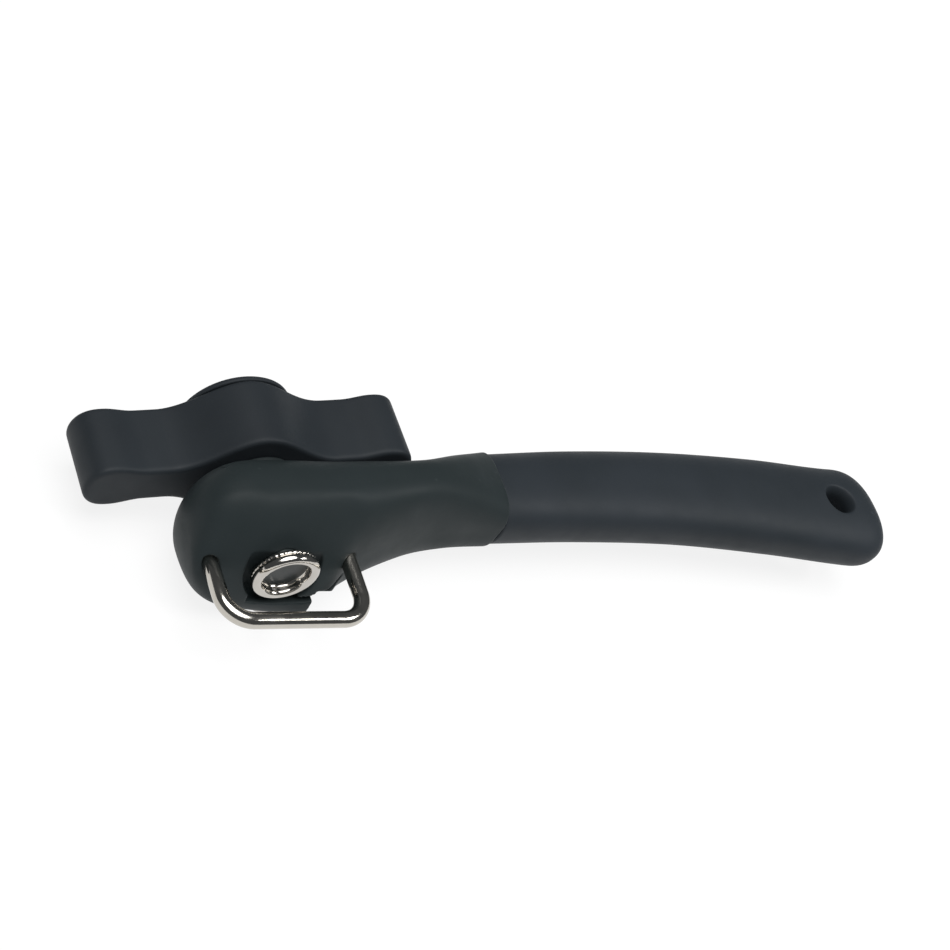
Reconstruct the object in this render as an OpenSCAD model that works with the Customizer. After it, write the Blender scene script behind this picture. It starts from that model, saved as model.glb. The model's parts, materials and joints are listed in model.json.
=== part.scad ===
// Manual side-cutting can opener with a butterfly turning knob and an arched, hollow-ended grip.
// Frame: +X runs along the handle towards its free end, +Y from the feed wheel to the knob,
// +Z through the thickness.  The origin is the centre of the hanging hole.

/* [Layout] */
// Distance from the drive shaft to the hanging hole
shaft_to_hole = 166.5; // [160:0.5:175]
// Height of the drive shaft above the middle plane of the grip
shaft_z = 1.05; // [0.8:0.05:1.3]
// Distance from the wheel's front face to the hanging hole, along the shaft
front_to_hole = 20.5; // [19:0.1:22]
// Distance from the shaft to the seam between head and grip
seam_from_shaft = 59.5; // [58:0.5:60]
// Length of the grip beyond the hanging hole
grip_overhang = 15.2; // [14.5:0.1:16]

/* [Feed wheel] */
// Radius of the plain front ring
ring_r = 7.5; // [7.3:0.05:7.6]
// Radius over the tips of the teeth
tooth_r = 7.45; // [7.3:0.05:7.6]
// Number of teeth
tooth_count = 40; // [30:1:48]
// Radius of the dished front recess
dish_r = 5.2; // [4.8:0.1:5.4]

/* [Shaft] */
// Radius of the drive shaft
shaft_r = 3.5; // [3.4:0.05:3.6]
// Radial running gap between the shaft and its bushes
running_gap = 0.03; // [0.02:0.01:0.06]

/* [Wire guide] */
// Radius of the steel wire
wire_r = 1.8; // [1.6:0.05:1.85]
// Distance of each leg from the shaft
leg_x = 16.7; // [16.5:0.1:17]
// Distance of the crossbar in front of the wheel's face
bar_drop = 9.8; // [9.5:0.1:10.5]
// Bend radius at the wire's centre line
bend_r = 6.2; // [5.5:0.1:6.8]

/* [Cutter] */
// Radius of the cutting wheel
cutter_r = 4.4; // [4.2:0.1:4.5]
// Radius of the cutter's axle
axle_r = 1.5; // [1.4:0.05:1.6]
// Largest swing of the cutter carrier, in degrees
carrier_swing = 6.5; // [5:0.1:6.5]

/* [Knob] */
// Distance from the wheel's front face to the knob's inner face
knob_start = 26.4; // [26.2:0.1:27]
// Depth of the knob along the shaft
knob_depth = 16.8; // [16:0.1:18]
// Half length of the knob from wing tip to wing tip
knob_half_l = 37.6; // [36.5:0.1:38]
// Radius of the swelling round the shaft
knob_hub_r = 13.3; // [12.8:0.1:13.8]
// Half thickness of a wing at its waist
waist_t = 5.05; // [4.6:0.05:5.4]
// Half thickness of a wing at its lobe
lobe_t = 6.25; // [5.8:0.05:6.6]
// Resting angle of the knob about the shaft
knob_rest = 9.1; // [0:0.1:12]

/* [Hanging hole] */
// Radius of the plain part of the hanging hole
hole_r = 3.4; // [3:0.1:3.6]
// Radius of its flared mouth at the surface
mouth_r = 6.6; // [6:0.1:7]

/* [Hidden] */
$fn = 64;
eps = 0.01;

// Colours
charcoal = "#3a4042";
slate = "#3d4347";
chrome = "#d9d9d6";
brass = "#b59a4a";
nylon = "#24282a";

// Feed wheel, measured from its front face
ring_t = 1.6;
neck_r = 6.7;
teeth_y = 2;
wheel_t = 2.9;
plug_y = 2.1;
plug_t = 0.6;
spigot_r = 2.4;
hub_r = 4.5;
pocket_r = 9;

// Passage for the can's rim: an arc about a can of the usual size
rim_r = 37;
rim_gap = 1.6;
skirt_end = 9.9;
skirt_cut_y = 2.6;

// Stack along the shaft, measured from the wheel's front face
floor_y = 4.6;        // face of the pocket floor behind the wheel
floor_t = 1.8;        // thickness of that floor
cavity_y = floor_y + floor_t;
hub_end = floor_y - 0.2;
carrier_y = 6.7;      // cutter carrier plate
carrier_t = 1.5;
clutch_y = 8.6;       // friction ring that swings the carrier
clutch_t = 1.4;
plate_y = 10.4;       // steel bearing plate
plate_t = 1.6;
clip_y = 12.3;        // groove and clip behind the bearing plate
clip_t = 0.9;
groove_r = 2.8;
cover_y = 18.5;       // inner face of the rear cover
cover_head_y = 20.8;  // seat of the cover's screw heads
seat_y = 20.5;        // seat of the bearing collar
collar_r = 8.6;
collar_end = knob_start - 0.4;
bush_r = 5;
front_bush_r = 4.3;
insert_y = knob_start + 0.2;
insert_end = insert_y + 11.4;
insert_r = 6;
cap_r = 4.4;
boss_r = 13;          // round boss of the knob's cap
boss_t = 2;
cap_foot = -2.6;      // the cap's plug reaches this far into the knob
shaft_end = insert_end - 0.4;
screw_r = 1.1;
screw_head_r = 1.9;
pin_r = 1;
pin_depth = 1.2;
cover_bite = 4;         // depth to which the cover's screws bite into the head
leg_end = 10;

// Cutter linkage in the plane across the shaft, as [x, z] from the shaft
pivot = [11.5, -6.5];
cutter_c = [3, -13.16];
cutter_y = 3.2;
cutter_t = 0.8;
spacer_r = 2.1;
arm_r = [2.8, 2.3];     // radii of the carrier at its pivot and at the cutter
drive_pin = pivot * 7 / norm(pivot);
half_swing = carrier_swing / 2;
arm = cutter_c - pivot;
cutter_mid = pivot + [arm[0] * cos(half_swing) + arm[1] * sin(half_swing),
    arm[1] * cos(half_swing) - arm[0] * sin(half_swing)];
cutter_far = pivot + [arm[0] * cos(carrier_swing) + arm[1] * sin(carrier_swing),
    arm[1] * cos(carrier_swing) - arm[0] * sin(carrier_swing)];
cutter_travel = norm(arm) * sin(half_swing);

// Cavity of the head and its rear cover, as [x, z] limits from the shaft
cav_x = [-13, 14.6];
cav_z = [-9.8, 6.6];
step_x = [-12.2, 14];
step_z = [-10.2, 3.2];
step_y = 10;            // depth at which the cavity opens out
clutch_room_r = 6.6;
clutch_room_y = 8.2;
room = 0.5;             // room left round the cutter carrier
cover_x = [-13, 14.6];
cover_z = [-13.6, 10.4];
boss_at = [[-9.6, 0.6], [11, 0.6], [-9.6, -7.4]];
cover_screw_at = [[-8, 8], [10.5, 8], [-8, -11.4], [10.5, -11.4]];

// Tang between head and grip, from the shaft
tang_x = [40, 142];
tang_w = 11;
tang_h = 7;
tang_y = 19.5;
tang_z = -shaft_z;
tang_screw_y = 15.8;
screw_seat_x = 36;

// Flared mouths of the hanging hole, from the middle plane
mouth_z = 4.8;
mouth_h = 4.2;
mouth_w = mouth_r - hole_r;

// Stations of the head, measured from the shaft and the wheel's face:
// [x, y of the knob side, y of the wheel side, top z, bottom z, slant of the wheel side]
HEAD = [[-6, 25.5, 2.8, 13.6, -15.8, 6], [4, 25.5, 2.8, 14, -17, 6.7],
    [12.5, 25.4, 3, 14.2, -16.8, 7.2], [18.5, 25.4, 6, 14.2, -15, 3], [36, 26, 11.2, 14, -11.6, 0.6],
    [48, 29.7, 12.4, 11.5, -10, 0], [61, 33.8, 12.6, 7.4, -9.5, 0]];
head_tip = 20;
head_n = 3;       // squareness of the head's section
tip_n = 2;        // squareness at the very end of the nose
nose_n = 2.4;     // squareness of the nose seen along the shaft
nose_bluff = 0.3; // how little the wheel side draws in towards the nose

// Stations of the grip: [x from the shaft, y of the knob side, y of the wheel side, top z, bottom z, 0]
GRIP = [[59.5, 33.6, 12.4, 7.5, -9.6, 0], [85, 35.8, 13, 7.3, -9.5, 0],
    [115, 36.8, 12.4, 7.2, -9.3, 0], [145, 36, 9.6, 7.2, -9.3, 0], [170, 34, 6.4, 7.2, -9.4, 0],
    [184, 34.3, 5.5, 7.2, -9.4, 0]];
grip_n = 2.3;
end_n = 2.8;       // squareness of its end
end_round = 11;    // length over which its end is rounded

SIDES = 36;

// Slope of column c at station i, for a smooth curve through the stations
function slope(s, i, c) = let (a = max(i - 1, 0), b = min(i + 1, len(s) - 1))
    (s[b][c] - s[a][c]) / (s[b][0] - s[a][0]);

// Index of the station before x
function before(s, x) = len([for (i = [1 : len(s) - 2]) if (s[i][0] <= x) 1]);

// Column c of the stations at x, by a cubic curve
function at(s, x, c) = let (i = before(s, x), w = s[i + 1][0] - s[i][0], t = (x - s[i][0]) / w)
    let (t2 = t * t, t3 = t2 * t)
    s[i][c] * (2 * t3 - 3 * t2 + 1) + s[i + 1][c] * (3 * t2 - 2 * t3)
    + w * slope(s, i, c) * (t3 - 2 * t2 + t) + w * slope(s, i + 1, c) * (t3 - t2);

// Signed power, for a superellipse
function spow(v, p) = sign(v) * pow(abs(v), p);

// One ring of points of a body at x, drawn in by the factor f about its own middle,
// and by g on the wheel side
function ring(s, x, xs, f, g, n) = let (yb = at(s, xs, 1), yf = at(s, xs, 2), zt = at(s, xs, 3),
    zb = at(s, xs, 4), slant = at(s, xs, 5), yc = (yb + yf) / 2)
    [for (i = [0 : SIDES - 1]) let (t = 360 * i / SIDES, c = spow(cos(t), 2 / n), q = spow(sin(t), 2 / n))
        [x, yc + c * (c > 0 ? f * (yb - yc) : g * (yc - yf - slant * q)), f * q * (q > 0 ? zt : -zb)]];

// Skin over a list of rings
module skin(rings) {
    last = len(rings) - 1;
    faces = concat(
        [[for (i = [0 : SIDES - 1]) i]],
        [for (r = [0 : last - 1], i = [0 : SIDES - 1]) let (j = (i + 1) % SIDES)
            [r * SIDES + i, (r + 1) * SIDES + i, (r + 1) * SIDES + j, r * SIDES + j]],
        [[for (i = [SIDES - 1 : -1 : 0]) last * SIDES + i]]);
    polyhedron(points = [for (r = rings) each r], faces = faces, convexity = 6);
}

// Places a child in the frame of the shaft: x and z from its axis, y from the wheel's face
module at_shaft() translate([-shaft_to_hole, -front_to_hole, shaft_z]) children();

// A round bar along Y from y0 to y1 at [x, z]
module bar_y(r, y0, y1, p = [0, 0]) translate([p[0], y1, p[1]]) rotate([90, 0, 0])
    cylinder(r = r, h = y1 - y0);

// A block from its limits in x, y and z
module block(x, y, z) translate([x[0], y[0], z[0]]) cube([x[1] - x[0], y[1] - y[0], z[1] - z[0]]);

// Outer form of the head
module head_form() {
    tip_x0 = HEAD[0][0];
    tip = [for (a = [84 : -6 : 6]) let (u = sin(a), f = pow(1 - pow(u, nose_n), 1 / nose_n))
        ring(HEAD, tip_x0 - (head_tip + tip_x0) * u, tip_x0, f, pow(f, nose_bluff),
            head_n + (tip_n - head_n) * u)];
    xs = [for (x = [tip_x0 : 3.35 : seam_from_shaft]) x, seam_from_shaft];
    skin(concat(tip, [for (x = xs) ring(HEAD, x, x, 1, 1, head_n)]));
}

// Outer form of the grip
module grip_form() {
    end_x = shaft_to_hole + grip_overhang;
    round_x = end_x - end_round;
    plain = [for (x = [seam_from_shaft : 6 : round_x - 2]) ring(GRIP, x, x, 1, 1, grip_n)];
    end = [for (a = [0 : 6 : 84]) let (u = sin(a), x = round_x + end_round * u)
        let (f = pow(1 - pow(u, end_n), 1 / end_n)) ring(GRIP, x, x, f, f, grip_n)];
    skin(concat(plain, end));
}

// Half thickness of the knob at a distance u from the shaft
function knob_half(u) = let (hub_reach = 19.3, waist_u = 23.8, lobe_u = 31,
    hub = u < hub_reach ? (knob_hub_r - waist_t) * pow(cos(90 * u / hub_reach), 2) : 0,
    swell = min(max((u - waist_u) / (lobe_u - waist_u), 0), 1),
    wing = waist_t + (lobe_t - waist_t) * (0.5 - 0.5 * cos(180 * swell)),
    tip = min(max((u - lobe_u) / (knob_half_l - lobe_u), 0), 1))
    (hub + wing) * sqrt(max(1 - pow(tip, 2.6), 0));

// Outline of the knob
module knob_outline() {
    body_us = [0 : 1 : 30];
    tip_us = [for (a = [0 : 7.5 : 90]) 31 + (knob_half_l - 31) * sin(a)];
    us = concat([for (u = body_us) u], tip_us);
    top = [for (u = us) [u, knob_half(u)]];
    n = len(us);
    right = concat(top, [for (i = [n - 2 : -1 : 1]) [us[i], -knob_half(us[i])]]);
    polygon(concat(right, [for (p = right) -p]));
}

// Right part of the skirt's front: the half space in front of a sloping plane
module skirt_cut() translate([skirt_end, skirt_cut_y, -8]) rotate([34, 0, 0])
    translate([0, -30, -30]) cube([40, 30, 38]);

// Socket or outline of the tang, with an allowance at its far end
module tang_block(x0, x1) block([x0, x1], [tang_y - tang_w / 2, tang_y + tang_w / 2],
    [tang_z - tang_h / 2, tang_z + tang_h / 2]);

// A round bar along X from x0 to x1 on the line of the tang's screw
module bar_x(r, x0, x1) translate([x0, tang_screw_y, tang_z]) rotate([0, 90, 0])
    cylinder(r = r, h = x1 - x0);

// Room in the head for the swing of the cutter carrier
module carrier_room() translate([0, carrier_y + carrier_t + room, 0]) rotate([90, 0, 0])
    linear_extrude(carrier_y + carrier_t + room - cavity_y) hull() {
        translate(pivot) circle(r = arm_r[0] + room, $fn = 32);
        translate(cutter_c) circle(r = arm_r[1] + room, $fn = 32);
        translate(cutter_far) circle(r = arm_r[1] + room, $fn = 32);
    }

module head_housing() color(charcoal) at_shaft() difference() {
    head_form();
    // pocket for the wheel, and the curved passage for the can's rim
    bar_y(pocket_r, -8, floor_y);
    intersection() {
        difference() {
            bar_y(rim_r + rim_gap, -8, floor_y, [0, rim_r - tooth_r]);
            bar_y(rim_r, -9, floor_y + 1, [0, rim_r - tooth_r]);
        }
        block([-6, 30], [-9, 6], [-12, 2]);
    }
    skirt_cut();
    // pocket for the cutting wheel behind the skirt, and the slot for its axle
    bar_y(cutter_r + cutter_travel + 0.35, cutter_y - 1.2, floor_y, cutter_mid);
    bar_y(spacer_r + cutter_travel + 0.35, floor_y - 1, cavity_y + 1, cutter_mid);
    // cavity for the mechanism, open at the back for the rear cover
    block(cav_x, [step_y, cover_y + eps], cav_z);
    block(step_x, [cavity_y, step_y + eps], step_z);
    bar_y(clutch_room_r, clutch_room_y, step_y + eps);
    carrier_room();
    block(cover_x, [cover_y, 40], cover_z);
    bar_y(collar_r, seat_y, 40);
    // bores for the bush, the pivot pin, the wire legs and the tang
    bar_y(front_bush_r, 3, clutch_room_y + eps);
    bar_y(axle_r, cavity_y - pin_depth, cavity_y + 1, pivot);
    for (p = boss_at) bar_y(screw_r, cavity_y - pin_depth, cavity_y + 1, p);
    for (p = cover_screw_at) bar_y(screw_r, cover_y - cover_bite, cover_y + 1, p);
    for (side = [-1, 1]) bar_y(wire_r, -9, leg_end, [side * leg_x, 0]);
    tang_block(tang_x[0], 70);
    bar_x(screw_head_r, cav_x[1] - 1, screw_seat_x);
    bar_x(screw_r, screw_seat_x - 1, tang_x[0] + 1);
}

module rear_cover() color(charcoal) at_shaft() difference() {
    intersection() {
        head_form();
        block(cover_x, [cover_y, 40], cover_z);
    }
    bar_y(collar_r, seat_y, 40);
    bar_y(bush_r, cover_y - 1, seat_y + 1);
    for (p = cover_screw_at) {
        bar_y(screw_r, cover_y - 1, 40, p);
        bar_y(screw_head_r, cover_head_y, 40, p);
    }
}

// A cross-recessed screw along Y: shank from y0 to y1, head of the given height beyond y1
module screw_y(y0, y1, head_h, p) difference() {
    union() {
        bar_y(screw_r, y0, y1, p);
        bar_y(screw_head_r - 0.3, y1, y1 + head_h, p);
    }
    for (turn = [0, 90]) translate([p[0], y1 + head_h, p[1]]) rotate([0, turn, 0])
        cube([2.6, 1.4, 0.6], center = true);
}

module cover_screws() color(chrome) at_shaft() for (p = cover_screw_at)
    screw_y(cover_y - cover_bite, cover_head_y, 1.2, p);

module bearing_collar() color(charcoal) at_shaft() difference() {
    bar_y(collar_r, seat_y, collar_end);
    bar_y(bush_r, seat_y - 1, collar_end + 1);
}

module front_bush() color(nylon) at_shaft() difference() {
    bar_y(front_bush_r, floor_y - 0.1, cavity_y);
    bar_y(shaft_r + running_gap, floor_y - 1, cavity_y + 1);
}

module rear_bush() color(brass) at_shaft() difference() {
    union() {
        bar_y(bush_r, cover_y, collar_end);
        bar_y(bush_r + 1.2, cover_y - 1.2, cover_y);
    }
    bar_y(shaft_r + running_gap, cover_y - 2, collar_end + 1);
}

module bearing_plate() color(chrome) at_shaft() difference() {
    block([cav_x[0] + 0.4, cav_x[1] - 0.4], [plate_y, plate_y + plate_t], [cav_z[0] + 0.4, cav_z[1] - 0.4]);
    bar_y(shaft_r + 0.25, plate_y - 1, plate_y + plate_t + 1);
    bar_y(axle_r, plate_y - 1, plate_y + plate_t + 1, pivot);
    for (p = boss_at) bar_y(screw_r, plate_y - 1, plate_y + plate_t + 1, p);
}

// Stand-offs that carry the bearing plate above the cavity floor
module plate_spacers() color(nylon) at_shaft() for (p = boss_at) difference() {
    bar_y(2.4, cavity_y, plate_y, p);
    bar_y(screw_r, cavity_y - 1, plate_y + 1, p);
}

module plate_screws() color(chrome) at_shaft() for (p = boss_at)
    screw_y(cavity_y - pin_depth, plate_y + plate_t, 1.3, p);

module carrier_pivot() color(chrome) at_shaft()
    bar_y(axle_r, cavity_y - pin_depth, plate_y + plate_t, pivot);

module handle_core() color(nylon) at_shaft() difference() {
    tang_block(tang_x[0], tang_x[1]);
    // lightening pockets on both broad faces leave a web and ribs
    for (i = [0 : 4], side = [-1, 1])
        translate([66 + 15 * i + 6, tang_y, tang_z + side * tang_h / 2]) cube([12, 9, 4.4], center = true);
    bar_x(screw_r, tang_x[0] - 1, tang_x[0] + 12);
}

module handle_grip() color(slate) at_shaft() difference() {
    grip_form();
    tang_block(50, tang_x[1]);
    // hanging hole: a plain middle with a flared mouth on each face
    translate([shaft_to_hole, front_to_hole, -shaft_z]) {
        cylinder(r = hole_r, h = 40, center = true);
        for (side = [0, 1]) mirror([0, 0, side]) rotate_extrude() polygon(mouth_profile());
    }
}

// Profile of a flared mouth: a quarter circle from the plain hole out to the surface
function mouth_profile() = concat([[0, 12], [0, mouth_z]],
    [for (a = [0 : 15 : 90]) [hole_r + mouth_w * (1 - cos(a)), mouth_z + mouth_h * sin(a)]],
    [[hole_r + mouth_w, 12]]);

module tang_screw() color(chrome) at_shaft() difference() {
    union() {
        bar_x(screw_r, screw_seat_x, tang_x[0] + 12);
        bar_x(screw_head_r - 0.3, screw_seat_x - 1.6, screw_seat_x);
    }
    translate([screw_seat_x - 1.6, tang_screw_y, tang_z]) cube([1.4, 2.6, 0.6], center = true);
    translate([screw_seat_x - 1.6, tang_screw_y, tang_z]) cube([1.4, 0.6, 2.6], center = true);
}

module guide_bracket() color(chrome) at_shaft() union() {
    for (side = [-1, 1]) {
        bar_y(wire_r, bend_r - bar_drop, leg_end, [side * leg_x, 0]);
        translate([side * (leg_x - bend_r), bend_r - bar_drop, 0]) rotate([0, 0, side > 0 ? -90 : 180])
            rotate_extrude(angle = 90) translate([bend_r, 0]) circle(r = wire_r);
    }
    translate([bend_r - leg_x, -bar_drop, 0]) rotate([0, 90, 0]) cylinder(r = wire_r, h = 2 * (leg_x - bend_r));
}

module drive_shaft() color(chrome) at_shaft() difference() {
    union() {
        bar_y(spigot_r, plug_y + plug_t, hub_end + eps);
        bar_y(shaft_r, hub_end, shaft_end);
    }
    // groove for the clip, and the tapped hole for the knob's screw
    difference() {
        bar_y(shaft_r + 1, clip_y, clip_y + clip_t);
        bar_y(groove_r, clip_y - 1, clip_y + clip_t + 1);
    }
    bar_y(screw_r, shaft_end - 9, shaft_end + 1);
}

// Disc with triangular teeth, tips at tooth_r
module toothed_disc() {
    step = 360 / tooth_count;
    polygon([for (i = [0 : tooth_count - 1], k = [0, 1]) let (a = step * (i + k / 2), r = tooth_r - 0.5 * k)
        [r * cos(a), r * sin(a)]]);
}

module feed_wheel() color(chrome) at_shaft() difference() {
    union() {
        bar_y(ring_r, 0, ring_t);
        bar_y(neck_r, ring_t, teeth_y);
        translate([0, wheel_t, 0]) rotate([90, 0, 0]) linear_extrude(wheel_t - teeth_y) toothed_disc();
        bar_y(hub_r, teeth_y, hub_end);
    }
    bar_y(dish_r, -1, plug_y + plug_t);
    bar_y(spigot_r, plug_y, hub_end + 1);
}

module wheel_plug() color(nylon) at_shaft() bar_y(dish_r, plug_y, plug_y + plug_t);

module shaft_clip() color(chrome) at_shaft() difference() {
    bar_y(groove_r + 2.4, clip_y + 0.05, clip_y + clip_t - 0.05);
    bar_y(groove_r, clip_y - 1, clip_y + clip_t + 1);
    block([-1.4, 1.4], [clip_y - 1, clip_y + 2], [0, 9]);
}

module friction_washer() color(chrome) at_shaft() difference() {
    bar_y(shaft_r + 2.2, clutch_y + clutch_t + 0.05, plate_y - 0.05);
    bar_y(shaft_r, clutch_y, plate_y + 1);
}

module turning_knob() color(slate) at_shaft() difference() {
    translate([0, knob_start + knob_depth, 0]) rotate([90, 0, 0]) rotate(knob_rest)
        linear_extrude(knob_depth) knob_outline();
    insert_hex(knob_start - 1, insert_end);
    bar_y(cap_r, insert_end - 1, knob_start + knob_depth + 1);
}

// Hexagonal bar for the brass insert
module insert_hex(y0, y1) translate([0, y1, 0]) rotate([90, knob_rest, 0])
    cylinder(r = insert_r, h = y1 - y0, $fn = 6);

module knob_insert() color(brass) at_shaft() difference() {
    insert_hex(insert_y, insert_end);
    bar_y(shaft_r, insert_y - 1, shaft_end);
    bar_y(screw_r, shaft_end - 1, insert_end + 1);
}

module knob_screw() color(chrome) at_shaft() screw_y(shaft_end - 9, insert_end, 1.8, [0, 0]);

module knob_cap() color(slate) at_shaft() translate([0, knob_start + knob_depth, 0]) rotate([-90, 0, 0])
    rotate_extrude() polygon([[0, cap_foot], [cap_r, cap_foot], [cap_r, 0], [boss_r, 0], [boss_r, boss_t / 2],
        [boss_r - 1, boss_t - 0.2], [boss_r / 2, boss_t], [0, boss_t]]);

module clutch_ring() color(brass) at_shaft() difference() {
    union() {
        bar_y(6, clutch_y, clutch_y + clutch_t);
        bar_y(2.2, clutch_y, clutch_y + clutch_t, drive_pin);
    }
    bar_y(shaft_r + running_gap, clutch_y - 1, clutch_y + clutch_t + 1);
    bar_y(pin_r, clutch_y - 1, clutch_y + clutch_t + 1, drive_pin);
}

module clutch_pin() color(chrome) at_shaft() bar_y(pin_r, carrier_y + 0.2, clutch_y + clutch_t, drive_pin);

module cutter_carrier() color(chrome) at_shaft() difference() {
    translate([0, carrier_y + carrier_t, 0]) rotate([90, 0, 0]) linear_extrude(carrier_t) hull() {
        translate(pivot) circle(r = arm_r[0], $fn = 32);
        translate(drive_pin) circle(r = 2.4, $fn = 32);
        translate(cutter_c) circle(r = arm_r[1], $fn = 32);
    }
    bar_y(axle_r + running_gap, carrier_y - 1, carrier_y + carrier_t + 1, pivot);
    bar_y(axle_r, carrier_y - 1, carrier_y + carrier_t + 1, cutter_c);
    bar_y(pin_r + 0.3, carrier_y - 1, carrier_y + carrier_t + 1, drive_pin);
}

module cutter_axle() color(chrome) at_shaft() union() {
    bar_y(axle_r, cutter_y - 0.4, carrier_y + carrier_t, cutter_c);
    bar_y(spacer_r, cutter_y - 0.9, cutter_y - 0.4, cutter_c);
}

module cutter_spacer() color(chrome) at_shaft() difference() {
    bar_y(spacer_r, cutter_y + cutter_t + 0.05, carrier_y, cutter_c);
    bar_y(axle_r, cutter_y, carrier_y + 1, cutter_c);
}

module cutting_wheel() color(chrome) at_shaft() translate([cutter_c[0], cutter_y, cutter_c[1]])
    rotate([-90, 0, 0]) rotate_extrude() polygon([[axle_r + running_gap, -0.35], [axle_r + 1, -0.35], [cutter_r - 1, 0],
        [cutter_r, cutter_t / 2], [cutter_r - 1, cutter_t], [axle_r + running_gap, cutter_t]]);

head_housing();
rear_cover();
cover_screws();
bearing_collar();
front_bush();
rear_bush();
bearing_plate();
plate_spacers();
plate_screws();
carrier_pivot();
handle_core();
handle_grip();
tang_screw();
guide_bracket();
drive_shaft();
feed_wheel();
wheel_plug();
shaft_clip();
friction_washer();
turning_knob();
knob_insert();
knob_screw();
knob_cap();
clutch_ring();
clutch_pin();
cutter_carrier();
cutter_axle();
cutter_spacer();
cutting_wheel();
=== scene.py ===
import json
import math
import bmesh
import bpy
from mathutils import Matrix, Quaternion, Vector


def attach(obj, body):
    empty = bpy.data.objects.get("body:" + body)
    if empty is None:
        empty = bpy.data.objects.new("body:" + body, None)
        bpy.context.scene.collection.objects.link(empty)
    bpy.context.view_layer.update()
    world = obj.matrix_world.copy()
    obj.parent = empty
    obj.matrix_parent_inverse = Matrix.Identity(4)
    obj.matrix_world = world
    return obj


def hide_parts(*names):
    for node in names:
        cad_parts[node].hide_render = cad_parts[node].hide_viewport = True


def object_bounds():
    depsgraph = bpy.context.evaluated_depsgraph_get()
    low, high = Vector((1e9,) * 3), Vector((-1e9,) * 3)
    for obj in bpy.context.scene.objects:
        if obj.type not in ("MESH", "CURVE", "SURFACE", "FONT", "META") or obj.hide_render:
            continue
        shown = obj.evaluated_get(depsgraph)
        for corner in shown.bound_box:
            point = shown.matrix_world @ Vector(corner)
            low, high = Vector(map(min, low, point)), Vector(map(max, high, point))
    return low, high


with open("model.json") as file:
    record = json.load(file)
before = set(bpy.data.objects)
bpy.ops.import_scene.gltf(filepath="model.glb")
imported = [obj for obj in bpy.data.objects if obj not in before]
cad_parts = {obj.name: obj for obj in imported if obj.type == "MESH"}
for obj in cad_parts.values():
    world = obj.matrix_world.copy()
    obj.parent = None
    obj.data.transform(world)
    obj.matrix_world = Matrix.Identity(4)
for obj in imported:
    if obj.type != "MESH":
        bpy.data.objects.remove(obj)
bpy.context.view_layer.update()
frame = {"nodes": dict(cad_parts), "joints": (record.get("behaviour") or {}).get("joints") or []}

# ---- Head ----------------------------------------------------------------------------------------
# The head is one deep ABS moulding, sprayed with a soft-touch lacquer after moulding.  It has a pocket
# for the feed wheel in front and a cavity for the mechanism behind, and its lower edge runs on as a
# skirt in front of the cutting wheel.

MM = 0.001
joints = {joint["name"]: joint for joint in frame["joints"]}
shaft = Vector(joints["knob_turn"]["pos_m"])     # on the shaft's axis, level with the wheel's front


def at(x, y, z):
    """A point from the shaft's axis and the wheel's front face, in millimetres."""
    return shaft + Vector((x, y, z)) * MM


def skin(name, rings, hollow=False):
    """A closed skin over rings of points; a hollow piece's last ring joins its first."""
    bm = bmesh.new()
    loops = [[bm.verts.new(p) for p in ring] for ring in rings]
    count = len(loops[0])
    pairs = list(zip(loops, loops[1:]))
    if hollow:
        pairs.append((loops[-1], loops[0]))
    else:
        bm.faces.new(loops[0])
        bm.faces.new(loops[-1])
    for a, b in pairs:
        for i in range(count):
            j = (i + 1) % count
            bm.faces.new((a[i], b[i], b[j], a[j]))
    bmesh.ops.recalc_face_normals(bm, faces=bm.faces)
    mesh = bpy.data.meshes.new(name)
    bm.to_mesh(mesh)
    bm.free()
    mesh.polygons.foreach_set("use_smooth", [True] * len(mesh.polygons))
    piece = bpy.data.objects.new(name, mesh)
    bpy.context.scene.collection.objects.link(piece)
    return piece


def curve_at(stations, x):
    """The sizes of a lofted moulding at x, on a smooth curve through its stations."""
    last = len(stations) - 2
    k = max(i for i in range(last + 1) if i == 0 or stations[i][0] <= x)
    a, b = stations[k], stations[k + 1]
    width = b[0] - a[0]
    t = (x - a[0]) / width

    def slope(i, c):
        low, high = stations[max(i - 1, 0)], stations[min(i + 1, last + 1)]
        return (high[c] - low[c]) / (high[0] - low[0])

    sizes = []
    for c in range(1, len(a)):
        rise = a[c] * (2 * t**3 - 3 * t**2 + 1) + b[c] * (3 * t**2 - 2 * t**3)
        bend = slope(k, c) * (t**3 - 2 * t**2 + t) + slope(k + 1, c) * (t**3 - t**2)
        sizes.append(rise + width * bend)
    return sizes


def section(stations, x, shape_x, draw_in, power, bluff=1):
    """One ring of a lofted moulding at x, with the shape it has at shape_x.  It is drawn in about its
    middle, and less on the wheel's side where its end is bluff."""
    back, front, top, bottom, slant = curve_at(stations, shape_x)
    middle = (back + front) / 2
    ring = []
    for i in range(SIDES):
        angle = math.tau * i / SIDES
        c = math.copysign(abs(math.cos(angle)) ** (2 / power), math.cos(angle))
        s = math.copysign(abs(math.sin(angle)) ** (2 / power), math.sin(angle))
        reach = draw_in * (back - middle) if c > 0 else draw_in**bluff * (middle - front - slant * s)
        ring.append(at(x, middle + c * reach, draw_in * s * (top if s > 0 else -bottom)))
    return ring


def steps(low, high, step):
    """Even steps from low to high, both ends included."""
    count = max(1, round((high - low) / step))
    return [low + (high - low) * i / count for i in range(count + 1)]


def bar_y(r, y0, y1, x=0, z=0, sides=96):
    """A round cutter along the shaft's direction."""
    angles = [math.tau * i / sides for i in range(sides)]
    return skin("cutter", [[at(x + r * math.cos(a), y, z + r * math.sin(a)) for a in angles]
                           for y in (y0, y1)])


def block(x, y, z):
    """A square cutter between limits in x, y and z."""
    corners = ((0, 0), (1, 0), (1, 1), (0, 1))
    return skin("cutter", [[at(px, y[a], z[b]) for a, b in corners] for px in x])


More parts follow.
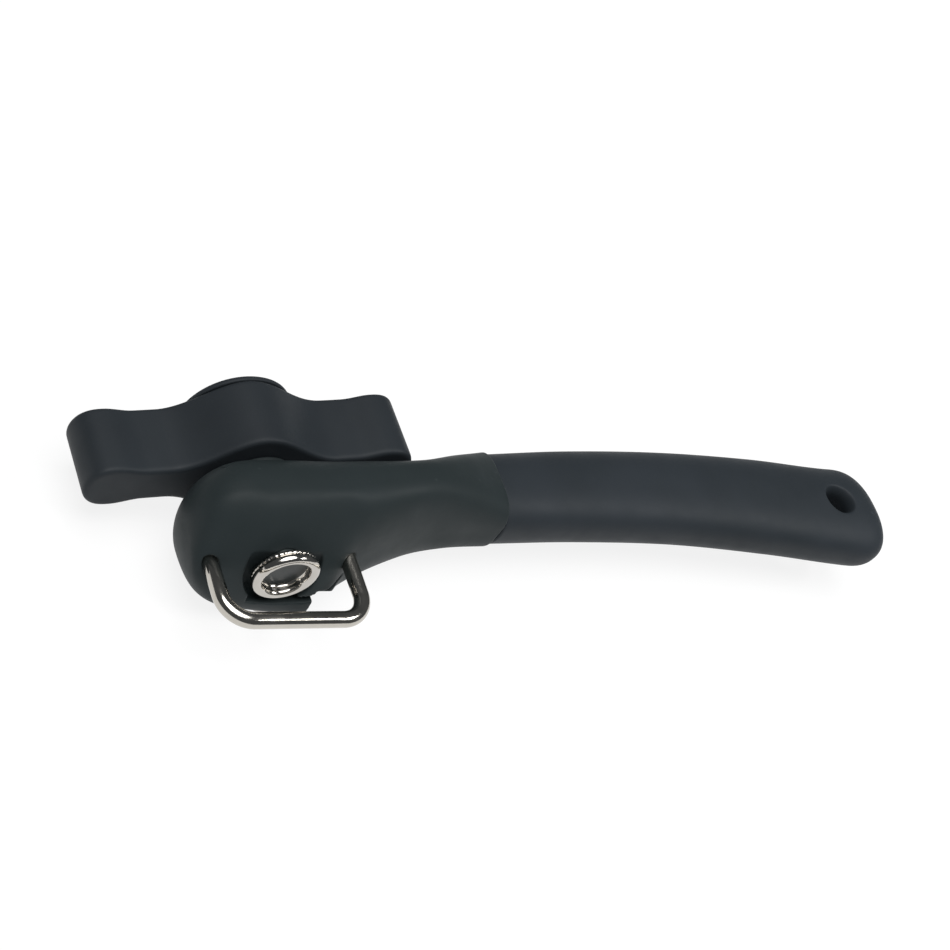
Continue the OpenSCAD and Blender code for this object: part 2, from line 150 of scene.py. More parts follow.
def bake(piece):
    """Makes the result of a piece's modifiers its own mesh."""
    graph = bpy.context.evaluated_depsgraph_get()
    graph.update()
    mesh = bpy.data.meshes.new_from_object(piece.evaluated_get(graph))
    piece.modifiers.clear()
    piece.data = mesh
    return piece


def carve(piece, *cutters, operation="DIFFERENCE"):
    """Takes the cutters off a piece, or keeps only what it shares with them."""
    for cutter in cutters:
        cut = piece.modifiers.new("cut", "BOOLEAN")
        cut.operation = operation
        cut.solver = "EXACT"
        cut.object = cutter
        bake(piece)
        bpy.data.objects.remove(cutter)
    return piece


def soften(piece, grain, rounds):
    """Remakes a mesh in small even faces and eases its edges, as a moulding's are under lacquer."""
    remesh = piece.modifiers.new("even faces", "REMESH")
    remesh.mode = "VOXEL"
    remesh.voxel_size = grain * MM
    remesh.use_smooth_shade = True
    ease = piece.modifiers.new("eased edges", "SMOOTH")
    ease.factor = 0.5
    ease.iterations = rounds
    return bake(piece)


def linear(hex_code):
    """An sRGB hex colour as linear red, green, blue and alpha."""
    channels = [int(hex_code[i:i + 2], 16) / 255 for i in (1, 3, 5)]
    return [c / 12.92 if c <= 0.04045 else ((c + 0.055) / 1.055) ** 2.4 for c in channels] + [1]


def add(material, kind, settings=None, **inputs):
    """Adds a node with its settings; an input is a value, or another node's output socket."""
    node = material.node_tree.nodes.new(kind)
    for key, value in (settings or {}).items():
        setattr(node, key, value)
    for key, value in inputs.items():
        numbered = key[0] == "i" and key[1:].isdigit()
        socket = node.inputs[int(key[1:])] if numbered else node.inputs[key.replace("_", " ")]
        if isinstance(value, bpy.types.NodeSocket):
            material.node_tree.links.new(value, socket)
        else:
            socket.default_value = value
    return node


def begin(name):
    """A material with its surface shader."""
    material = bpy.data.materials.new(name)
    material.use_nodes = True
    return material, material.node_tree.nodes["Principled BSDF"]


def per_mm(size):
    """The texture scale that repeats a pattern every so many millimetres."""
    return 1 / (size * MM)


# Soft-touch lacquer on ABS: a matt rubbery polyurethane coat, moulded and sprayed.  It gives the eye a
# dull even grey with a wide soft highlight, a very fine dry grain, faint cloudiness, and a little
# polish where fingers and drawers rub.
def soft_touch(name, hollow_colour, body_colour, rubbed_colour):
    material, shader = begin(name)
    space = add(material, "ShaderNodeTexCoord").outputs["Object"]
    cloud = add(material, "ShaderNodeTexNoise", Vector=space, Scale=per_mm(26), Detail=3.0, Roughness=0.55)
    cloudy = add(material, "ShaderNodeMapRange", Value=cloud.outputs["Fac"], From_Min=0.3, From_Max=0.7)
    grain = add(material, "ShaderNodeTexNoise", Vector=space, Scale=per_mm(0.35), Detail=2.0, Roughness=0.6)
    tone = add(material, "ShaderNodeMix", {"data_type": "RGBA"}, Factor=cloudy.outputs[0],
               i6=linear(hollow_colour), i7=linear(body_colour))
    speck = add(material, "ShaderNodeMapRange", Value=grain.outputs["Fac"], From_Min=0.62, From_Max=0.8,
                To_Max=0.35)
    specked = add(material, "ShaderNodeMix", {"data_type": "RGBA"}, Factor=speck.outputs[0],
                  i6=tone.outputs[2], i7=linear(rubbed_colour))
    edge = add(material, "ShaderNodeNewGeometry").outputs["Pointiness"]
    rubbed = add(material, "ShaderNodeMapRange", Value=edge, From_Min=0.53, From_Max=0.6, To_Max=0.4)
    coat = add(material, "ShaderNodeMix", {"data_type": "RGBA"}, Factor=rubbed.outputs[0],
               i6=specked.outputs[2], i7=linear(rubbed_colour))
    handled = add(material, "ShaderNodeTexNoise", Vector=space, Scale=per_mm(7), Detail=4.0, Roughness=0.6)
    dull = add(material, "ShaderNodeMapRange", Value=handled.outputs["Fac"], From_Min=0.3, From_Max=0.7,
               To_Min=0.48, To_Max=0.58)
    dry = add(material, "ShaderNodeBump", Height=grain.outputs["Fac"], Strength=0.22, Distance=0.03 * MM)
    material.node_tree.links.new(coat.outputs[2], shader.inputs["Base Color"])
    material.node_tree.links.new(dull.outputs[0], shader.inputs["Roughness"])
    material.node_tree.links.new(dry.outputs[0], shader.inputs["Normal"])
    shader.inputs["IOR"].default_value = 1.46
    shader.inputs["Specular IOR Level"].default_value = 0.18
    return material


SIDES = 144
# x from the shaft, y of the knob's side, y of the wheel's side, top, bottom, slant of the wheel's side
HEAD = [(-6, 25.5, 2.8, 13.6, -15.8, 6), (4, 25.5, 2.8, 14, -17, 6.7), (12.5, 25.4, 3, 14.2, -16.8, 7.2),
        (18.5, 25.4, 6, 14.2, -15, 3), (36, 26, 11.2, 14, -11.6, 0.6), (48, 29.7, 12.4, 11.5, -10, 0),
        (61, 33.8, 12.6, 7.4, -9.5, 0)]
NOSE = 20           # reach of the head's blunt end beyond the shaft
SEAM = 59.5         # joint between head and grip, from the shaft
HEAD_POWER = 3      # squareness of the head's section
NOSE_POWER = 2.4    # squareness of the blunt end, seen along the shaft
NOSE_BLUFF = 0.3    # how little the wheel's side draws in towards the end
TIP_POWER = 2       # the section grows round at the very end


def head_form(name):
    first = HEAD[0][0]
    rings = []
    for degrees in range(87, 2, -3):
        u = math.sin(math.radians(degrees))
        draw_in = (1 - u**NOSE_POWER) ** (1 / NOSE_POWER)
        power = HEAD_POWER + (TIP_POWER - HEAD_POWER) * u
        rings.append(section(HEAD, first - (NOSE + first) * u, first, draw_in, power, NOSE_BLUFF))
    rings += [section(HEAD, x, x, 1, HEAD_POWER) for x in steps(first, SEAM, 1)]
    return skin(name, rings)


floor_y, cavity_y, cover_y = 4.6, 6.4, 18.5      # wheel pocket's floor, cavity's floor, inside of the cover
pocket_r, bush_r, collar_r, seat_y = 9, 5, 8.6, 20.5
rim_r, rim_gap, tooth_r = 37, 1.6, 7.45          # the passage that lets a can's rim reach the wheel
cavity_x, cavity_z = (-13, 14.6), (-9.8, 6.6)
step_x, step_z, step_y = (-12.2, 14), (-10.2, 3.2), 10       # the cavity is narrower in front of step_y
clutch_room_r, clutch_room_y, front_bush_r = 6.6, 8.2, 4.3   # round room for the friction ring
cover_x, cover_z = (-13, 14.6), (-13.6, 10.4)
leg_x, leg_end, wire_r = 16.7, 10, 1.8
tang_x, tang_y, tang_z = (40, 142), (14, 25), (-4.55, 2.45)
swing_x, swing_z = 2.64, -12.67                    # middle of the cutting wheel's swing
cutter_pocket_r, axle_slot_r = 5.36, 3.06        # the cutter's own radius, its swing and a gap
pivot_x, pivot_z, pivot_room_r = 11.5, -6.5, 3.3
arm_x, arm_z, arm_room_y = (-0.6, 9), (-15.9, -9), 8.7           # room for the carrier's arm
skirt_x, skirt_y, skirt_z, skirt_tilt = 9.9, 2.6, -8, 34         # the plane that ends the skirt, in degrees


def rim_passage():
    ring = carve(bar_y(rim_r + rim_gap, -8, floor_y, z=rim_r - tooth_r, sides=360),
                 bar_y(rim_r, -9, floor_y + 1, z=rim_r - tooth_r, sides=360))
    return carve(ring, block((-6, 30), (-9, 6), (-12, 2)), operation="INTERSECT")


def skirt_trim():
    """The sloping end of the skirt, right of the wheel: all that lies in front of a tilted plane."""
    tilt = math.radians(skirt_tilt)
    rings = []
    for x in (skirt_x, 55):
        ring = []
        for y, z in ((-30, -30), (0, -30), (0, 8), (-30, 8)):
            ring.append(at(x, skirt_y + y * math.cos(tilt) - z * math.sin(tilt),
                           skirt_z + y * math.sin(tilt) + z * math.cos(tilt)))
        rings.append(ring)
    return skin("cutter", rings)


head = carve(head_form("head_lacquered"), bar_y(pocket_r, -8, floor_y), rim_passage(), skirt_trim(),
             bar_y(cutter_pocket_r, 2, floor_y, swing_x, swing_z),
             bar_y(axle_slot_r, floor_y - 1, cavity_y + 1, swing_x, swing_z),
             block(cavity_x, (step_y, cover_y + 0.1), cavity_z),
             block(step_x, (cavity_y, step_y + 0.1), step_z),
             bar_y(clutch_room_r, clutch_room_y, step_y + 0.1),
             block(arm_x, (cavity_y, arm_room_y), arm_z),
             bar_y(pivot_room_r, cavity_y, arm_room_y, pivot_x, pivot_z),
             block(cover_x, (cover_y, 40), cover_z),
             bar_y(collar_r, seat_y, 40), bar_y(front_bush_r, 3, clutch_room_y + 0.1),
             bar_y(wire_r - 0.1, -9, leg_end, -leg_x), bar_y(wire_r - 0.1, -9, leg_end, leg_x),
             block((tang_x[0], 70), tang_y, tang_z))
soften(head, 0.25, 8)
head_lacquer = soft_touch("soft-touch lacquer on ABS, green charcoal", "#232a2b", "#272e30", "#363d3e")
head.data.materials.append(head_lacquer)
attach(head, "housing")
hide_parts("head_housing")

# ---- Feed wheel ----------------------------------------------------------------------------------
# The wheel that drives the can round is turned from steel, knurled on its edge and nickel-chromed.
# Its front is a polished rounded ring, with a moulded plug pressed into its dish.


def eased(profile, radius, hollow):
    """A profile with its corners rounded, three points to a corner."""
    points = []
    count = len(profile)
    for i, p in enumerate(profile):
        if not hollow and i in (0, count - 1):
            points.append(p)
            continue
        here = Vector(p)
        before, after = Vector(profile[i - 1]) - here, Vector(profile[(i + 1) % count]) - here
        reach = min(radius, 0.45 * before.length, 0.45 * after.length)
        a, b = here + before.normalized() * reach, here + after.normalized() * reach
        for t in (0, 0.25, 0.5, 0.75, 1):
            points.append(tuple(a * (1 - t)**2 + here * 2 * t * (1 - t) + b * t**2))
    return points


def turned(name, profile, x=0, z=0, sides=160, hollow=True, tooth=None):
    """A piece turned about the shaft's direction from a profile of radius and y."""
    rings = []
    for r, y in profile:
        ring = []
        for i in range(sides):
            angle = math.tau * i / sides
            reach = r - (tooth(r, y, i) if tooth else 0)
            ring.append(at(x + reach * math.cos(angle), y, z + reach * math.sin(angle)))
        rings.append(ring)
    return skin(name, rings, hollow)


TEETH = 40
PER_TOOTH = 8      # points round each tooth


def tooth_depth(r, y, i):
    """How far the knurl cuts in at point i: a ridge for each tooth, on the toothed band alone."""
    if r < 6.9 or y < 1.9:
        return 0
    share = (i % PER_TOOTH) / PER_TOOTH
    return 0.12 * abs(2 * share - 1)


ring_front = eased([(5.2, 2.7), (5.2, 0.95), (5.4, 0.4), (5.8, 0.08), (6.3, 0.0), (6.8, 0.08), (7.3, 0.4),
                    (7.5, 0.95), (7.5, 1.6)], 0.5, False)
toothed = [(6.7, 1.7), (6.7, 1.95), (7.05, 2.0), (7.2, 2.1), (7.3, 2.25), (7.3, 2.65), (7.2, 2.85), (7.0, 2.9)]
hub = [(4.5, 2.9), (4.5, 4.4), (2.4, 4.4)]
wheel = turned("feed_wheel_chromed", [(2.4, 2.7)] + ring_front + toothed + hub,
               sides=TEETH * PER_TOOTH, tooth=tooth_depth)

# Nickel-chrome plate on turned steel: polished, then handled.  A bright mirror with faint turning marks
# round it, and a breath of dullness from fingers.
chrome, shader = begin("nickel-chrome plate, polished")
space = add(chrome, "ShaderNodeTexCoord").outputs["Object"]
smear = add(chrome, "ShaderNodeTexNoise", Vector=space, Scale=per_mm(3), Detail=4.0, Roughness=0.6)
dull = add(chrome, "ShaderNodeMapRange", Value=smear.outputs["Fac"], From_Min=0.35, From_Max=0.7,
           To_Min=0.07, To_Max=0.17)
tint = add(chrome, "ShaderNodeMix", {"data_type": "RGBA"}, Factor=smear.outputs["Fac"],
           i6=linear("#b5b1ab"), i7=linear("#c4c0ba"))
marks = add(chrome, "ShaderNodeTexNoise", Vector=space, Scale=per_mm(0.4), Detail=2.0)
relief = add(chrome, "ShaderNodeBump", Height=marks.outputs["Fac"], Strength=0.06, Distance=0.02 * MM)
chrome.node_tree.links.new(tint.outputs[2], shader.inputs["Base Color"])
chrome.node_tree.links.new(dull.outputs[0], shader.inputs["Roughness"])
chrome.node_tree.links.new(relief.outputs[0], shader.inputs["Normal"])
shader.inputs["Metallic"].default_value = 1

wheel.data.materials.append(chrome)
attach(wheel, "drive")
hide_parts("feed_wheel")

plug_profile = [(0.05, 2.1), (2.5, 2.13), (4.6, 2.2), (5.18, 2.35), (5.18, 2.7), (0.05, 2.7)]
plug = turned("wheel_plug_moulded", eased(plug_profile, 0.2, False), hollow=False)
# Acetal: a hard, slippery engineering plastic, injection moulded.  Near black, half dull, with a faint
# waxy variation and fine mould grain.
acetal, shader = begin("acetal, moulded black")
space = add(acetal, "ShaderNodeTexCoord").outputs["Object"]
wax = add(acetal, "ShaderNodeTexNoise", Vector=space, Scale=per_mm(2.5), Detail=4.0, Roughness=0.6)
tint = add(acetal, "ShaderNodeMix", {"data_type": "RGBA"}, Factor=wax.outputs["Fac"],
           i6=linear("#1c2122"), i7=linear("#2b3132"))
dull = add(acetal, "ShaderNodeMapRange", Value=wax.outputs["Fac"], From_Min=0.3, From_Max=0.7,
           To_Min=0.3, To_Max=0.42)
grain = add(acetal, "ShaderNodeTexNoise", Vector=space, Scale=per_mm(0.3), Detail=2.0)
relief = add(acetal, "ShaderNodeBump", Height=grain.outputs["Fac"], Strength=0.15, Distance=0.02 * MM)
acetal.node_tree.links.new(tint.outputs[2], shader.inputs["Base Color"])
acetal.node_tree.links.new(dull.outputs[0], shader.inputs["Roughness"])
acetal.node_tree.links.new(relief.outputs[0], shader.inputs["Normal"])
shader.inputs["IOR"].default_value = 1.48

plug.data.materials.append(acetal)
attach(plug, "drive")
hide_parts("wheel_plug")

# ---- Wire guide ----------------------------------------------------------------------------------
# A hoop of round stainless wire, bent cold and polished, keeps the can's wall against the wheel.
# Its two legs are pressed into holes in the head's moulding.

bar_y_front, bend_r = -9.8, 6.2


def hoop():
    """The hoop's rings: up one leg, round a bend, along the bar, round the other bend and back."""
    line = [(-leg_x, y) for y in steps(leg_end, bar_y_front + bend_r, 0.6)]
    for side in (-1, 1):
        centre = side * (leg_x - bend_r)
        angles = steps(0, 90, 4)
        for degrees in angles if side < 0 else reversed(angles):
            a = math.radians(degrees)
            line.append((centre + side * bend_r * math.cos(a), bar_y_front + bend_r * (1 - math.sin(a))))
    line += [(leg_x, y) for y in steps(bar_y_front + bend_r, leg_end, 0.6)]
    points = []
    for x, y in line:
        if not points or math.hypot(x - points[-1][0], y - points[-1][1]) > 1e-4:
            points.append((x, y))
    rings = []
    for i, (x, y) in enumerate(points):
        before, after = points[max(i - 1, 0)], points[min(i + 1, len(points) - 1)]
        run = Vector((after[0] - before[0], after[1] - before[1])).normalized()
        across = Vector((-run.y, run.x))
        ring = []
        for k in range(40):
            a = math.tau * k / 40
            ring.append(at(x + wire_r * math.cos(a) * across.x, y + wire_r * math.cos(a) * across.y,
                           wire_r * math.sin(a)))
        rings.append(ring)
    return rings


guide = skin("wire_guide_polished", hoop())
# Stainless wire: drawn through a die, bent and tumbled bright.  A clean mirror with slight streaks,
# a little darker than chrome.
stainless, shader = begin("stainless steel wire, tumbled bright")
space = add(stainless, "ShaderNodeTexCoord").outputs["Object"]
smear = add(stainless, "ShaderNodeTexNoise", Vector=space, Scale=per_mm(4), Detail=5.0, Roughness=0.6)
dull = add(stainless, "ShaderNodeMapRange", Value=smear.outputs["Fac"], From_Min=0.3, From_Max=0.7,
           To_Min=0.1, To_Max=0.2)
tint = add(stainless, "ShaderNodeMix", {"data_type": "RGBA"}, Factor=smear.outputs["Fac"],
           i6=linear("#b4b0a8"), i7=linear("#c6c2ba"))
pits = add(stainless, "ShaderNodeTexNoise", Vector=space, Scale=per_mm(0.5), Detail=3.0)
relief = add(stainless, "ShaderNodeBump", Height=pits.outputs["Fac"], Strength=0.08, Distance=0.02 * MM)
stainless.node_tree.links.new(tint.outputs[2], shader.inputs["Base Color"])
stainless.node_tree.links.new(dull.outputs[0], shader.inputs["Roughness"])
stainless.node_tree.links.new(relief.outputs[0], shader.inputs["Normal"])
shader.inputs["Metallic"].default_value = 1

guide.data.materials.append(stainless)
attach(guide, "housing")
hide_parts("guide_bracket")

# ---- Rear cover and bearing collar ---------------------------------------------------------------
# A separate moulding closes the mechanism's cavity from behind, sprayed with the head and held by four
# screws.  The collar that the knob turns against is pressed into it.

cover_gap = 0.15
cover_screws = [(-8, 8), (10.5, 8), (-8, -11.4), (10.5, -11.4)]
cover_room = block((cover_x[0] + cover_gap, cover_x[1] - cover_gap), (cover_y, 40),
                   (cover_z[0] + cover_gap, cover_z[1] - cover_gap))
cover = carve(head_form("rear_cover_lacquered"), cover_room, operation="INTERSECT")
carve(cover, bar_y(collar_r + 0.05, seat_y, 40), bar_y(bush_r, cover_y - 1, seat_y + 1))
screw_r, screw_head_r, screw_seat_y = 1.1, 1.9, 20.8
for x, z in cover_screws:
    carve(cover, bar_y(screw_r, cover_y - 1, 40, x, z, 32), bar_y(screw_head_r, screw_seat_y, 40, x, z, 48))
soften(cover, 0.22, 4)
cover.data.materials.append(head_lacquer)
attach(cover, "housing")
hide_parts("rear_cover")

knob_start = 26.4
collar = turned("bearing_collar_moulded", eased([(5, seat_y), (collar_r, seat_y), (collar_r, knob_start - 0.4),
                                                (5, knob_start - 0.4)], 0.5, True))
collar.data.materials.append(acetal)
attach(collar, "housing")
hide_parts("bearing_collar")

# ---- Turning knob --------------------------------------------------------------------------------
# The butterfly knob is a thick ABS moulding with a swollen hub and two lobed wings, sprayed like the
# head.  It is moulded round a hexagonal brass insert, and a cap snaps over the screw on its far side.

knob_depth, half_length, hub_r, waist, lobe, rest_angle = 16.8, 37.6, 13.3, 5.05, 6.25, 9.1
HUB_REACH, WAIST_U, LOBE_U = 19.3, 23.8, 31


def half_thickness(u):
    """Half the knob's thickness at a distance u from the shaft."""
    hub = (hub_r - waist) * math.cos(math.pi / 2 * u / HUB_REACH) ** 2 if u < HUB_REACH else 0
    swell = min(max((u - WAIST_U) / (LOBE_U - WAIST_U), 0), 1)
    wing = waist + (lobe - waist) * (0.5 - 0.5 * math.cos(math.pi * swell))
    tip = min(max((u - LOBE_U) / (half_length - LOBE_U), 0), 1)
    return (hub + wing) * math.sqrt(max(1 - tip**2.6, 0))


def knob_form():
    us = steps(0, LOBE_U, 0.4)
    us += [LOBE_U + (half_length - LOBE_U) * math.sin(math.radians(d)) for d in steps(3, 90, 3)]
    top = [Vector((u, half_thickness(u))) for u in us]
    right = top + [Vector((p.x, -p.y)) for p in reversed(top[1:-1])]
    outline = right + [-p for p in right]
    outline = [p for i, p in enumerate(outline) if (p - outline[i - 1]).length > 0.01]
    turn = math.radians(rest_angle)
    normals = []
    for i, p in enumerate(outline):
        run = (outline[(i + 1) % len(outline)] - outline[i - 1]).normalized()
        normals.append(Vector((-run.y, run.x)))
    rings = []
    edge = 1.0
    for degrees in steps(0, 180, 15):
        a = math.radians(degrees)
        inset = edge * (1 - math.sin(a))
        y = edge * (1 - math.cos(a)) if degrees <= 90 else knob_depth - edge * (1 + math.cos(a))
        ring = []
        for p, n in zip(outline, normals):
            q = p - n * inset
            ring.append(at(q.x * math.cos(turn) - q.y * math.sin(turn), knob_start + y,
                           q.x * math.sin(turn) + q.y * math.cos(turn)))
        rings.append(ring)
    return skin("knob_lacquered", rings)


insert_end = knob_start + 11.6
knob_end = knob_start + knob_depth
boss_r = 13
insert_r, cap_r = 6, 4.4
corners = [math.radians(60 * i + rest_angle) for i in range(6)]
turned_hex = [(insert_r * math.cos(a), insert_r * math.sin(a)) for a in corners]
insert_room = skin("cutter", [[at(x, y, z) for x, z in turned_hex] for y in (knob_start - 1, insert_end)])
knob = carve(knob_form(), insert_room, bar_y(cap_r, insert_end - 1, knob_end + 1))
soften(knob, 0.28, 6)
knob_lacquer = soft_touch("soft-touch lacquer on ABS, blue slate", "#25292d", "#292e32", "#383d42")
knob.data.materials.append(knob_lacquer)
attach(knob, "drive")
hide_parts("turning_knob")

cap_profile = [(0.05, knob_end - 2.6), (4.3, knob_end - 2.6), (4.3, knob_end), (boss_r, knob_end),
               (boss_r, knob_end + 1), (boss_r - 1, knob_end + 1.8), (6, knob_end + 1.98), (0.05, knob_end + 2)]
cap = turned("knob_cap_lacquered", eased(cap_profile, 0.8, False), hollow=False)
cap.data.materials.append(knob_lacquer)
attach(cap, "drive")
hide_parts("knob_cap")

# ---- Grip ----------------------------------------------------------------------------------------
# The arched grip is a hollow-ended ABS moulding pushed over a ribbed core, sprayed to match the knob.
# Its end has a flared hole to hang it by.

GRIP = [(59.5, 33.6, 12.4, 7.5, -9.6, 0), (85, 35.8, 13, 7.3, -9.5, 0), (115, 36.8, 12.4, 7.2, -9.3, 0),
        (145, 36, 9.6, 7.2, -9.3, 0), (170, 34, 6.4, 7.2, -9.4, 0), (184, 34.3, 5.5, 7.2, -9.4, 0)]
GRIP_POWER = 2.3
END_POWER = 2.8
END_ROUND = 11      # length over which the end is rounded
grip_end = 181.7


def grip_form():
    rings = [section(GRIP, x, x, 1, GRIP_POWER) for x in steps(SEAM, grip_end - END_ROUND - 1, 1)]
    for degrees in steps(0, 87, 3):
        u = math.sin(math.radians(degrees))
        x = grip_end - END_ROUND + END_ROUND * u
        rings.append(section(GRIP, x, x, (1 - u**END_POWER) ** (1 / END_POWER), GRIP_POWER))
    return skin("grip_lacquered", rings)


def hanging_hole():
    """A plain hole along Z whose mouth opens out on both broad faces."""
    hole_r, mouth_w, mouth_z, mouth_h = 3.4, 3.2, 4.8, 4.2
    half = [(hole_r + mouth_w * (1 - math.cos(math.radians(d))), mouth_z + mouth_h * math.sin(math.radians(d)))
            for d in steps(0, 90, 9)] + [(hole_r + mouth_w, 12)]
    profile = [(r, -z) for r, z in reversed(half)] + half
    angles = [math.tau * i / 96 for i in range(96)]
    return skin("cutter", [[Vector((r * math.cos(a), r * math.sin(a), z)) * MM for a in angles]
                           for r, z in profile])


grip = carve(grip_form(), block((50, tang_x[1]), tang_y, tang_z), hanging_hole())
soften(grip, 0.3, 6)
grip_lacquer = soft_touch("soft-touch lacquer on ABS, slate", "#262b2f", "#2b3035", "#3a4044")
grip.data.materials.append(grip_lacquer)
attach(grip, "housing")
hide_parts("handle_grip")

# ---- Cutting wheel -------------------------------------------------------------------------------
# A small hardened wheel, ground to a blunt edge, that presses into the side of the can's rim from
# behind the skirt.  It turns freely on an axle in the swinging carrier.

cutter = Vector(joints["cutter_spin"]["pos_m"]) - shaft
cutter_y, cutter_r, cutter_t = 3.2, 4.4, 0.8
blade = turned("cutting_wheel_ground", eased([(1.55, cutter_y - 0.35), (2.5, cutter_y - 0.35), (3.4, cutter_y),
                                              (cutter_r, cutter_y + cutter_t / 2), (3.4, cutter_y + cutter_t),
                                              (1.55, cutter_y + cutter_t)], 0.12, True),
               x=cutter.x / MM, z=cutter.z / MM)
# Tool steel: hardened and ground.  A grey mirror with short grinding scratches and slight heat colour.
tool_steel, shader = begin("tool steel, hardened and ground")
space = add(tool_steel, "ShaderNodeTexCoord").outputs["Object"]
scratch = add(tool_steel, "ShaderNodeTexNoise", Vector=space, Scale=per_mm(0.5), Detail=6.0, Roughness=0.7)
dull = add(tool_steel, "ShaderNodeMapRange", Value=scratch.outputs["Fac"], From_Min=0.3, From_Max=0.7,
           To_Min=0.22, To_Max=0.38)
heat = add(tool_steel, "ShaderNodeTexNoise", Vector=space, Scale=per_mm(4), Detail=2.0)
tint = add(tool_steel, "ShaderNodeMix", {"data_type": "RGBA"}, Factor=heat.outputs["Fac"],
           i6=linear("#9c9a96"), i7=linear("#b3ada3"))
relief = add(tool_steel, "ShaderNodeBump", Height=scratch.outputs["Fac"], Strength=0.2, Distance=0.02 * MM)
tool_steel.node_tree.links.new(tint.outputs[2], shader.inputs["Base Color"])
tool_steel.node_tree.links.new(dull.outputs[0], shader.inputs["Roughness"])
tool_steel.node_tree.links.new(relief.outputs[0], shader.inputs["Normal"])
shader.inputs["Metallic"].default_value = 1

blade.data.materials.append(tool_steel)
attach(blade, "cutter")
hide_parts("cutting_wheel")

# ---- Mechanism inside the head -------------------------------------------------------------------
# The shaft turns in a black acetal bush in front and a sintered brass bush behind.  Stamped steel parts, pins
# and screws swing the cutter to the rim, and black acetal spacers hold the plate.  All keep the shape of their
# CAD solids.

# Brass: machined from bar.  Warm yellow, satin, with uneven tarnish.
brass, shader = begin("brass, machined")
space = add(brass, "ShaderNodeTexCoord").outputs["Object"]
tarnish = add(brass, "ShaderNodeTexNoise", Vector=space, Scale=per_mm(3), Detail=4.0, Roughness=0.6)
tint = add(brass, "ShaderNodeMix", {"data_type": "RGBA"}, Factor=tarnish.outputs["Fac"],
           i6=linear("#a9863f"), i7=linear("#d0b062"))
dull = add(brass, "ShaderNodeMapRange", Value=tarnish.outputs["Fac"], From_Min=0.3, From_Max=0.7,
           To_Min=0.24, To_Max=0.38)
relief = add(brass, "ShaderNodeBump", Height=tarnish.outputs["Fac"], Strength=0.1, Distance=0.02 * MM)
brass.node_tree.links.new(tint.outputs[2], shader.inputs["Base Color"])
brass.node_tree.links.new(dull.outputs[0], shader.inputs["Roughness"])
brass.node_tree.links.new(relief.outputs[0], shader.inputs["Normal"])
shader.inputs["Metallic"].default_value = 1

# Zinc-plated steel: stamped or rolled, plated in a barrel.  Bluish grey, satin, slightly blotched.
zinc, shader = begin("zinc-plated steel")
space = add(zinc, "ShaderNodeTexCoord").outputs["Object"]
blotch = add(zinc, "ShaderNodeTexNoise", Vector=space, Scale=per_mm(2), Detail=4.0, Roughness=0.6)
tint = add(zinc, "ShaderNodeMix", {"data_type": "RGBA"}, Factor=blotch.outputs["Fac"],
           i6=linear("#a7a9a9"), i7=linear("#c6c8c8"))
dull = add(zinc, "ShaderNodeMapRange", Value=blotch.outputs["Fac"], From_Min=0.3, From_Max=0.7,
           To_Min=0.26, To_Max=0.4)
relief = add(zinc, "ShaderNodeBump", Height=blotch.outputs["Fac"], Strength=0.1, Distance=0.02 * MM)
zinc.node_tree.links.new(tint.outputs[2], shader.inputs["Base Color"])
zinc.node_tree.links.new(dull.outputs[0], shader.inputs["Roughness"])
zinc.node_tree.links.new(relief.outputs[0], shader.inputs["Normal"])
shader.inputs["Metallic"].default_value = 1

inside = {
    "front_bush": acetal, "rear_bush": brass, "clutch_ring": brass, "knob_insert": brass,
    "bearing_plate": zinc, "plate_screws": zinc, "cover_screws": zinc, "carrier_pivot": zinc,
    "tang_screw": zinc, "drive_shaft": zinc, "shaft_clip": zinc, "friction_washer": zinc,
    "knob_screw": zinc, "clutch_pin": zinc, "cutter_carrier": zinc, "cutter_axle": tool_steel,
    "cutter_spacer": zinc, "plate_spacers": acetal, "handle_core": acetal,
}
for name, material in inside.items():
    solid = frame["nodes"][name]
    for place in solid.material_slots:
        place.material = material

# ---- Floor, light and camera ---------------------------------------------------------------------
# An opal sheet lit from below, which leaves almost no shadow, a large soft light from overhead, a soft
# strip for the highlight on the lacquer, and a plain pale surround.

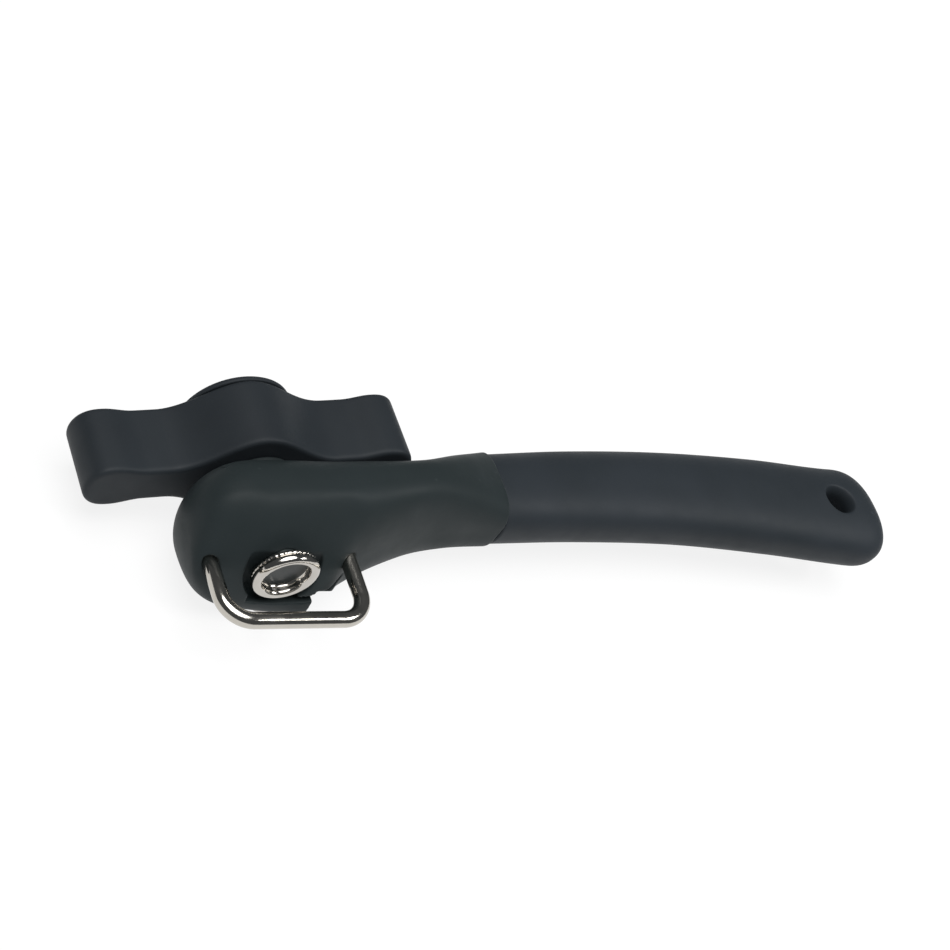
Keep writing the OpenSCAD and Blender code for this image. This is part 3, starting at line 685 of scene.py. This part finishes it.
low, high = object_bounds()
reach = 12.0
floor_mesh = bpy.data.meshes.new("floor")
floor_mesh.from_pydata([(-reach, -reach, low.z), (reach, -reach, low.z), (reach, reach, low.z),
                        (-reach, reach, low.z)], [], [(0, 1, 2, 3)])
floor = bpy.data.objects.new("floor", floor_mesh)
bpy.context.scene.collection.objects.link(floor)
paper, shader = begin("opal acrylic, lit from below")
shader.inputs["Base Color"].default_value = linear("#6a6a6a")
shader.inputs["Roughness"].default_value = 0.9
shader.inputs["Specular IOR Level"].default_value = 0.2
shader.inputs["Emission Color"].default_value = linear("#ffffff")
shader.inputs["Emission Strength"].default_value = 0.86
floor.data.materials.append(paper)

bpy.context.scene.view_settings.view_transform = "Standard"
world = bpy.data.worlds.new("surround")
bpy.context.scene.world = world
world.use_nodes = True
surround = world.node_tree.nodes["Background"]
surround.inputs["Color"].default_value = linear("#e8eef2")
surround.inputs["Strength"].default_value = 0.1


def aimed(piece, place, target, roll=0):
    """Puts a light or camera in place, looking at a target."""
    piece.location = place
    piece.rotation_mode = "QUATERNION"
    gaze = (Vector(target) - Vector(place)).to_track_quat("-Z", "Y")
    piece.rotation_quaternion = gaze @ Quaternion((0, 0, 1), math.radians(roll))
    bpy.context.scene.collection.objects.link(piece)
    return piece


middle = (low + high) / 2
overhead = bpy.data.lights.new("overhead", "SUN")
overhead.energy = 2.8
overhead.angle = math.radians(50)
aimed(bpy.data.objects.new("overhead", overhead), middle + Vector((-0.15, -0.05, 1.0)), middle)

strip = bpy.data.lights.new("strip", "AREA")
strip.shape = "RECTANGLE"
strip.size = 0.4
strip.size_y = 0.16
strip.energy = 3.0
aimed(bpy.data.objects.new("strip", strip), middle + Vector((0.51, -0.28, 0.7)), middle)

lens = bpy.data.cameras.new("camera")
lens.lens = 77.7
lens.sensor_width = 36
lens.clip_start = 0.01
bpy.context.scene.camera = aimed(bpy.data.objects.new("camera", lens), (-0.3791, -0.2293, 0.3115),
                                 (-0.1110, 0.0057, 0.0053), roll=38.6)
